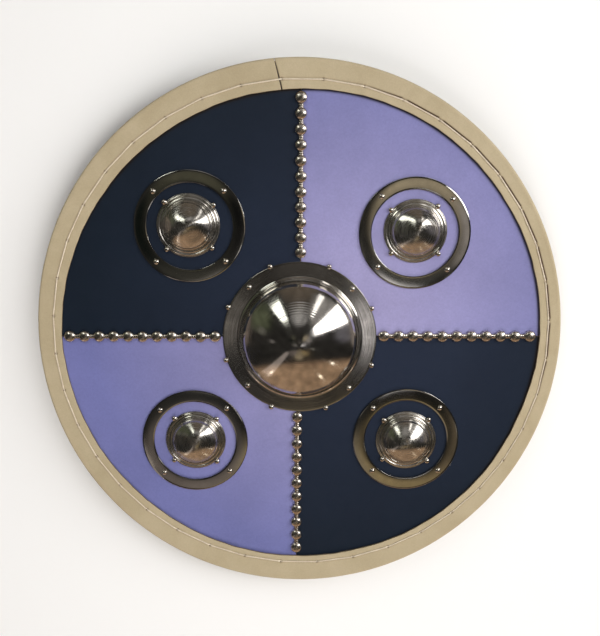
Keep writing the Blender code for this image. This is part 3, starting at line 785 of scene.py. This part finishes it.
def buildBoss(name, node, size):
    # Dome height = shoulder + rise (1 - (radius / shoulder radius)^curve), then rounded corners
    # down the wall, over the bead and along the flange, and back inside by the sheet's thickness.
    middle, flange = boxMiddle(node), boxRadius(node)
    low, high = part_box(node)
    sheet, cut = size["sheet"], size["shoulderRounding"]
    shoulder, level = size["shoulderRadius"], size["shoulderHeight"]
    bead, halfBead = size["beadRadius"], size["beadWidth"] / 2
    rise = high.z - low.z - level
    radius = np.linspace(0, shoulder - cut, max(12, int((shoulder - cut) / size["finest"])))
    ripple = size["ripple"] * np.sin(turn * radius / size["ripplePitch"]) * smoothStep(radius, 0.004, 0.012)
    dome = level + rise * (1 - (radius / shoulder) ** size["domeCurve"])
    dome = dome - (dome[0] - dome[1]) * 0.5 * np.exp(-(radius / (2 * size["finest"])) ** 2)
    foot, toe = (bead - halfBead, sheet + 0.2 * size["beadHeight"]), (bead + halfBead, sheet)
    corners = [(radius[-1], dome[-1]), (shoulder, level), *size["ledges"], foot,
               (bead, sheet + size["beadHeight"]), toe, *size["ridges"], (flange, sheet), (flange, 0.0)]
    ledgeCuts = [size["ledgeRounding"]] * len(size["ledges"])
    ridgeCuts = [0.00035] * len(size["ridges"])
    outside = roundedLine(corners, [cut, *ledgeCuts, 0.0007, 0.0011, 0.0008, *ridgeCuts, 0.0005], 7)
    outer = np.concatenate([np.stack([radius, dome + ripple], axis=-1), finerLine(outside, 0.0022)[1:]])
    inDome = np.linspace(shoulder - sheet, 0, 24)
    inHeight = level - sheet + rise * (1 - (inDome / (shoulder - sheet)) ** size["domeCurve"])
    inner = np.concatenate([[(foot[0] - sheet * 0.5, 0.0)], np.stack([inDome, inHeight], axis=-1)])
    profile = np.concatenate([outer, finerLine(inner, 0.004)])

    def dents(distance, angle):
        # slow dents from hand planishing, none on the flange: waves round the dome that wind as
        # they go outwards, the twofold one strongest
        share = distance / shoulder
        phase = size["dentPhase"]
        wind = size["twist"] * distance
        waves = (dentShares["twofold"] * share ** 2 * np.sin(2 * angle + phase + wind)
                 + dentShares["onefold"] * share * np.sin(angle - phase - wind)
                 + dentShares["threefold"] * share ** 3 * np.sin(3 * angle + 2 * phase + 0.5 * wind))
        within = np.exp(-(share / dentShares["reach"]) ** 4)
        # and a few short arcs, pressed in by the tool that closed the dome
        halfWidth = dentShares["grooveHalfWidth"]
        arcs = sum(np.exp(-((distance - groove) / halfWidth) ** 2) for groove in size["grooves"])
        arcs = arcs * smoothStep(np.cos(angle - math.radians(size["grooveAngle"])), 0.5, 0.9)
        return size["dents"] * within * waves - size["grooveDepth"] * arcs

    surface = turnedSurface(profile, middle, size["steps"], dents)
    addPiece(name, [surface], finishes[size["finish"]], [node], 35)


buildBoss("centreBossShell", "centre_boss", centreBoss)
for name, own in cornerBosses.items():
    buildBoss("cornerBoss_" + name, "boss_" + name, {**cornerBoss, **own})
print("bosses ready")


# Round nail heads, each a little different in size and lean

nailHead = {
    "radius": 0.0032, "height": 0.0026, "rim": 0.0002, "steps": 26,
    "smallest": 0.96, "largest": 1.04, "lean": 0.035,
}


def leaning(lean):
    # the height that a head gains at each place because it was driven in a little askew
    tilt = randomNumbers.normal(0, lean, 2)
    return lambda distance, angle: distance * (tilt[0] * np.cos(angle) + tilt[1] * np.sin(angle))


def nailSurface(middle):
    # radius = R sin(t) and height = H cos(t) over a quarter turn, on a thin rim, flat underneath
    t = np.linspace(0, math.pi / 2, 9)
    head = nailHead["radius"] * randomNumbers.uniform(nailHead["smallest"], nailHead["largest"])
    height = nailHead["rim"] + (nailHead["height"] - nailHead["rim"]) * np.cos(t)
    profile = np.concatenate([np.stack([head * np.sin(t), height], axis=-1), [(head, 0.0), (0.0, 0.0)]])
    return turnedSurface(profile, middle, nailHead["steps"], leaning(nailHead["lean"]))


def addNail(name, middle, nodes=()):
    addPiece(name, [nailSurface(middle)], finishes["nailNickel"], nodes, 50)


for node in sorted(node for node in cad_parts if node.startswith(("centre_nail_", "nail_"))):
    addNail("head_" + node, boxMiddle(node), [node])
print("nails ready")


# Flat steel rings, each with four nails of its own

ring = {
    "outer": 0.0635, "width": 0.0142, "thickness": 0.0015, "crown": 0.00010, "warp": 0.00012,
    "bevel": 0.00025, "steps": 160, "nailSink": 0.0003,
}
rings = {
    "upper_left": {"turn": 0.4, "phase": 0.3},
    "upper_right": {"turn": -2.1, "phase": 1.9},
    "lower_left": {"turn": 1.6, "phase": 3.3},
    "lower_right": {"turn": 0.4, "phase": 4.9},
}


def buildRing(name, own):
    # A flat section with bevelled edges and a hardly crowned top, turned round, and warped by
    # height = warp sin(2 angle).
    node = "ring_" + name
    middle = boxMiddle(node)
    outer, level, bevel = ring["outer"], ring["thickness"], ring["bevel"]
    inner, reach = outer - ring["width"], outer - ring["width"] / 2
    across = np.linspace(-1, 1, 9)
    edge = level - ring["crown"]
    along = reach + across * (ring["width"] / 2 - bevel)
    top = np.stack([along, level - ring["crown"] * across ** 2], axis=-1)
    line = np.concatenate([
        [(inner, 0.0), (inner, edge - bevel), (inner + bevel * 0.3, edge - bevel * 0.3)], top,
        [(outer - bevel * 0.3, edge - bevel * 0.3), (outer, edge - bevel), (outer, 0.0), (inner, 0.0)],
    ])

    def warp(distance, angle):
        return ring["warp"] * np.sin(2 * angle + own["phase"]) * np.ones_like(distance)

    surface = turnedSurface(line, middle + (0, 0, ring["warp"]), ring["steps"], warp)
    addPiece("plate_" + node, [surface], finishes["ringSteel"], [node], 30)
    for number in range(4):
        angle = math.radians(own["turn"] + 45 + 90 * number)
        spot = (reach * math.cos(angle), reach * math.sin(angle), level - ring["nailSink"])
        addNail(f"head_{node}_{number + 1}", middle + spot)


for name, own in rings.items():
    buildRing(name, own)
print("rings ready")


# Stud strips: eleven domed studs joined by a narrow stamped link

stud = {
    "count": 11, "radius": 0.0068, "height": 0.0046, "rim": 0.0004, "roundness": 0.80, "steps": 36,
    "linkWidth": 0.0061, "linkHeight": 0.0021, "ribs": 8, "ribDepth": 0.15, "shift": 0.00012, "lean": 0.022,
}


def buildStrip(name, strip):
    # Studs: radius = R sin(t), height = H cos(t)^roundness on a thin rim. The link is a half oval
    # carried along the strip's line, its size waving with the ribs between the studs.
    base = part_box("stud_strip_" + name)[0].z
    line = math.radians(strip["angle"])
    outwards = np.array([math.cos(line), math.sin(line)])
    sideways = np.array([-math.sin(line), math.cos(line)])
    places = np.linspace(firstStud, lastStud, stud["count"])

    def spot(distance):
        return outline["crossMiddle"] + outwards * distance + sideways * stripSide(strip, distance)

    t = np.linspace(0, math.pi / 2, 11)
    dome = stud["rim"] + (stud["height"] - stud["rim"]) * np.cos(t) ** stud["roundness"]
    profile = np.stack([stud["radius"] * np.sin(t), dome], axis=-1)
    profile = np.concatenate([profile, [(stud["radius"], 0.0), (0.0, 0.0)]])
    surfaces = []
    for place in places:
        middle = spot(place) + randomNumbers.normal(0, stud["shift"], 2)
        surfaces.append(turnedSurface(profile, (*middle, base), stud["steps"], leaning(stud["lean"])))
    along = np.linspace(firstStud, lastStud, 48 * (stud["count"] - 1) + 1)
    phase = (along - firstStud) / (places[1] - places[0]) * turn * stud["ribs"]
    rib = 1 - stud["ribDepth"] * (0.5 - np.cos(phase) / 2)[:, None]
    angle = np.linspace(0, math.pi, 9)
    across = stud["linkWidth"] / 2 * rib * np.cos(angle)
    up = base + 0.0001 + stud["linkHeight"] * rib * np.sin(angle)
    centre = outline["crossMiddle"] + outwards * along[:, None] + sideways * stripSide(strip, along)[:, None]
    points = np.concatenate([centre[:, None] + sideways * across[..., None], up[..., None]], axis=-1)
    surfaces.append(gridSurface(points, closeColumns=True, capEnds=True))
    addPiece("studs_" + name, surfaces, finishes["studNickel"], ["stud_strip_" + name], 50)


for name, strip in strips.items():
    buildStrip(name, strip)
print("stud strips ready")


# Stage: a pale floor, plain soft lights, and the windows and dim room that the steel mirrors

stageSizes = {
    "floorHalf": 1.6,
    "floorColour": (0.93, 0.93, 0.93),
    "windowDistance": 1.7,
    "backdrop": (0.90, 0.89, 0.88),
    "view": "Standard",
}
# upright panels round the shield: middle and half width as azimuths from +X towards +Y, top and
# bottom as angles from straight overhead, in degrees, then radiance and colour. Only the steel
# sees the windows, and only the leather, wood and floor are lit by the soft lights.
windows = {
    "windowRight": (23, 13, 26, 74, 4.4, (1.0, 0.985, 0.97)),
    "stripTop": (59, 4, 38, 66, 1.9, (1.0, 0.97, 0.93)),
    "windowLeft": (130, 8, 34, 58, 3.0, (0.97, 1.0, 0.90)),
    "glowFront": (-127, 5, 30, 80, 0.30, (1.0, 0.86, 0.78)),
}
softLights = {
    "softRight": (15, 16, 24, 76, 6.6, (1.0, 0.99, 0.97)),
    "softLow": (-92, 25, 24, 70, 3.4, (1.0, 0.97, 0.94)),
    "softHigh": (112, 20, 24, 66, 2.6, (0.98, 0.99, 1.0)),
}
# soft patches of the room, laid one over another: azimuth and angle from overhead of the middle,
# how far out it is full and where it is gone, all in degrees, and colour
roomBase = (0.022, 0.021, 0.019)
roomPatches = [
    (-85, 96, 46, 58, (0.36, 0.235, 0.145)),
    (90, 74, 10, 34, (0.13, 0.105, 0.08)),
    (90, 34, 9, 17, (0.32, 0.31, 0.30)),
    (42, 50, 8, 27, (0.28, 0.265, 0.25)),
    (158, 66, 8, 22, (0.085, 0.095, 0.058)),
    (176, 58, 2, 7, (0.16, 0.155, 0.13)),
    (-169, 44, 1, 4, (0.22, 0.20, 0.19)),
    (0, 68, 6, 16, (0.13, 0.125, 0.14)),
    (0, 92, 14, 22, (0.22, 0.19, 0.17)),
    (180, 92, 14, 22, (0.16, 0.13, 0.11)),
    (-90, 29, 6, 10, (0.27, 0.22, 0.145)),
    (-90, 7.5, 1.2, 3.2, (0.085, 0.078, 0.07)),
    (-63, 14, 1.2, 4.0, (0.95, 0.91, 0.91)),
    (-120, 13.6, 0.8, 3.5, (0.24, 0.22, 0.20)),
    (-90, 13, 1.5, 3.5, (0.012, 0.012, 0.010)),
    (-110, 26.6, 3, 7, (0.15, 0.125, 0.11)),
    (-70, 26.6, 3, 7, (0.30, 0.225, 0.115)),
    (-58, 24.7, 1.5, 5, (0.11, 0.085, 0.055)),
    (-137, 12.4, 1.5, 4, (0.05, 0.048, 0.04)),
    (-5, 10, 2.5, 5.5, (0.42, 0.35, 0.24)),
    (-46, 12, 1, 3, (0.06, 0.06, 0.056)),
    (-18, 15, 2, 5, (0.28, 0.25, 0.23)),
    (178, 9, 1.5, 4.5, (0.10, 0.095, 0.065)),
    (-163, 14.5, 1.5, 5, (0.004, 0.006, 0.005)),
    (-140, 6.5, 1.5, 4, (0.006, 0.006, 0.006)),
    (-117, 19.7, 2, 5, (0.026, 0.026, 0.024)),
    (-64, 19.5, 3, 6, (0.010, 0.010, 0.009)),
    (-44, 67, 0.8, 2.2, (4.0, 3.6, 3.0)),
    (-66, 73, 0.8, 2.2, (4.0, 3.4, 2.6)),
    (-124, 74, 0.7, 2.0, (3.5, 3.0, 2.4)),
    (-43, 28, 0.6, 2.4, (0.45, 0.43, 0.38)),
]
camera = {
    "eye": (0.00581, 0.18781, 0.83412),
    "target": (0.00128, 0.02353, 0.030),
    "focalPixels": 703.43,
    "longSidePixels": 636,
    "sensor": 36.0,
}


def direction(azimuth, fromTop):
    # the unit vector at an azimuth and an angle from straight overhead
    a, t = math.radians(azimuth), math.radians(fromTop)
    return (math.sin(t) * math.cos(a), math.sin(t) * math.sin(a), math.cos(t))


def buildFloor():
    half = stageSizes["floorHalf"]
    corners = np.array([[[-half, -half, 0], [half, -half, 0]], [[-half, half, 0], [half, half, 0]]], float)
    mesh = bpy.data.meshes.new("floor")
    mesh.from_pydata(corners.reshape(-1, 3).tolist(), [], [(0, 1, 3, 2)])
    m = Nodes("paleFloor", stageSizes["floorColour"], 0.8)
    m.link(m.mottled(m.place(), 3, 0.75, 0.85), "Roughness")
    mesh.materials.append(m.material)
    floor = bpy.data.objects.new("floor", mesh)
    bpy.context.scene.collection.objects.link(floor)
    floor.visible_glossy = False  # the steel mirrors the room below its rim too, not a white floor


def addWindow(name, mirrored, azimuth, half, top, bottom, radiance, colour):
    # An upright panel that faces the shield's axis. Width = 2 distance tan(half), and its ends are
    # at distance / tan(angle from overhead). Power = radiance pi area.
    distance = stageSizes["windowDistance"]
    lowest, highest = (distance / math.tan(math.radians(a)) for a in (bottom, top))
    light = bpy.data.lights.new(name, "AREA")
    light.shape = "RECTANGLE"
    light.size, light.size_y = 2 * distance * math.tan(math.radians(half)), highest - lowest
    light.energy = radiance * math.pi * light.size * light.size_y
    light.color = colour
    lamp = bpy.data.objects.new(name, light)
    away = Vector(direction(azimuth, 90))
    lamp.location = away * distance + Vector((0, 0, (lowest + highest) / 2))
    lamp.rotation_euler = away.to_track_quat("Z", "Y").to_euler()
    lamp.visible_glossy, lamp.visible_diffuse = mirrored, not mirrored
    bpy.context.scene.collection.objects.link(lamp)


def buildRoom():
    # Each patch: share = smooth step of the cosine between the view and the patch's direction.
    world = bpy.data.worlds.new("dimRoom")
    world.use_nodes = True
    tree = world.node_tree
    room = tree.nodes["Background"]
    view = addNode(tree, "ShaderNodeTexCoord").outputs["Generated"]
    colour = roomBase
    for azimuth, fromTop, full, gone, own in roomPatches:
        inputs = {0: view, 1: direction(azimuth, fromTop)}
        cosine = addNode(tree, "ShaderNodeVectorMath", inputs, operation="DOT_PRODUCT").outputs["Value"]
        least, most = math.cos(math.radians(gone)), math.cos(math.radians(full))
        inputs = {"Value": cosine, "From Min": least, "From Max": most}
        share = addNode(tree, "ShaderNodeMapRange", inputs, interpolation_type="SMOOTHSTEP").outputs[0]
        colour = addNode(tree, "ShaderNodeMix", {0: share, 6: colour, 7: own}, data_type="RGBA").outputs[2]
    cloudy = addNode(tree, "ShaderNodeTexNoise", {"Vector": view, "Scale": 7}).outputs["Fac"]
    inputs = {"Value": cloudy, "From Min": 0.3, "From Max": 0.7, "To Min": 0.6, "To Max": 1.4}
    tree.links.new(addNode(tree, "ShaderNodeMapRange", inputs).outputs[0], room.inputs["Strength"])
    tree.links.new(colour, room.inputs["Color"])
    # the camera itself sees a plain pale backdrop, and only the steel sees the room
    plain = addNode(tree, "ShaderNodeBackground", {"Color": stageSizes["backdrop"]}).outputs[0]
    direct = addNode(tree, "ShaderNodeLightPath").outputs["Is Camera Ray"]
    seen = addNode(tree, "ShaderNodeMixShader", {0: direct, 1: room.outputs[0], 2: plain}).outputs[0]
    tree.links.new(seen, tree.nodes["World Output"].inputs["Surface"])
    bpy.context.scene.world = world


def addCamera():
    data = bpy.data.cameras.new("camera")
    data.sensor_width = camera["sensor"]
    data.lens = camera["focalPixels"] * camera["sensor"] / camera["longSidePixels"]
    data.clip_start, data.clip_end = 0.01, 50
    eye, target = Vector(camera["eye"]), Vector(camera["target"])
    back = (eye - target).normalized()
    right = Vector((0, 1, 0)).cross(back).normalized()
    up = back.cross(right)
    place = bpy.data.objects.new("camera", data)
    place.matrix_world = Matrix.Translation(eye) @ Matrix((right, up, back)).transposed().to_4x4()
    bpy.context.scene.collection.objects.link(place)
    bpy.context.scene.camera = place


buildFloor()
for name, window in windows.items():
    addWindow(name, True, *window)
for name, window in softLights.items():
    addWindow(name, False, *window)
buildRoom()
addCamera()
bpy.context.scene.view_settings.view_transform = stageSizes["view"]
print("stage ready")
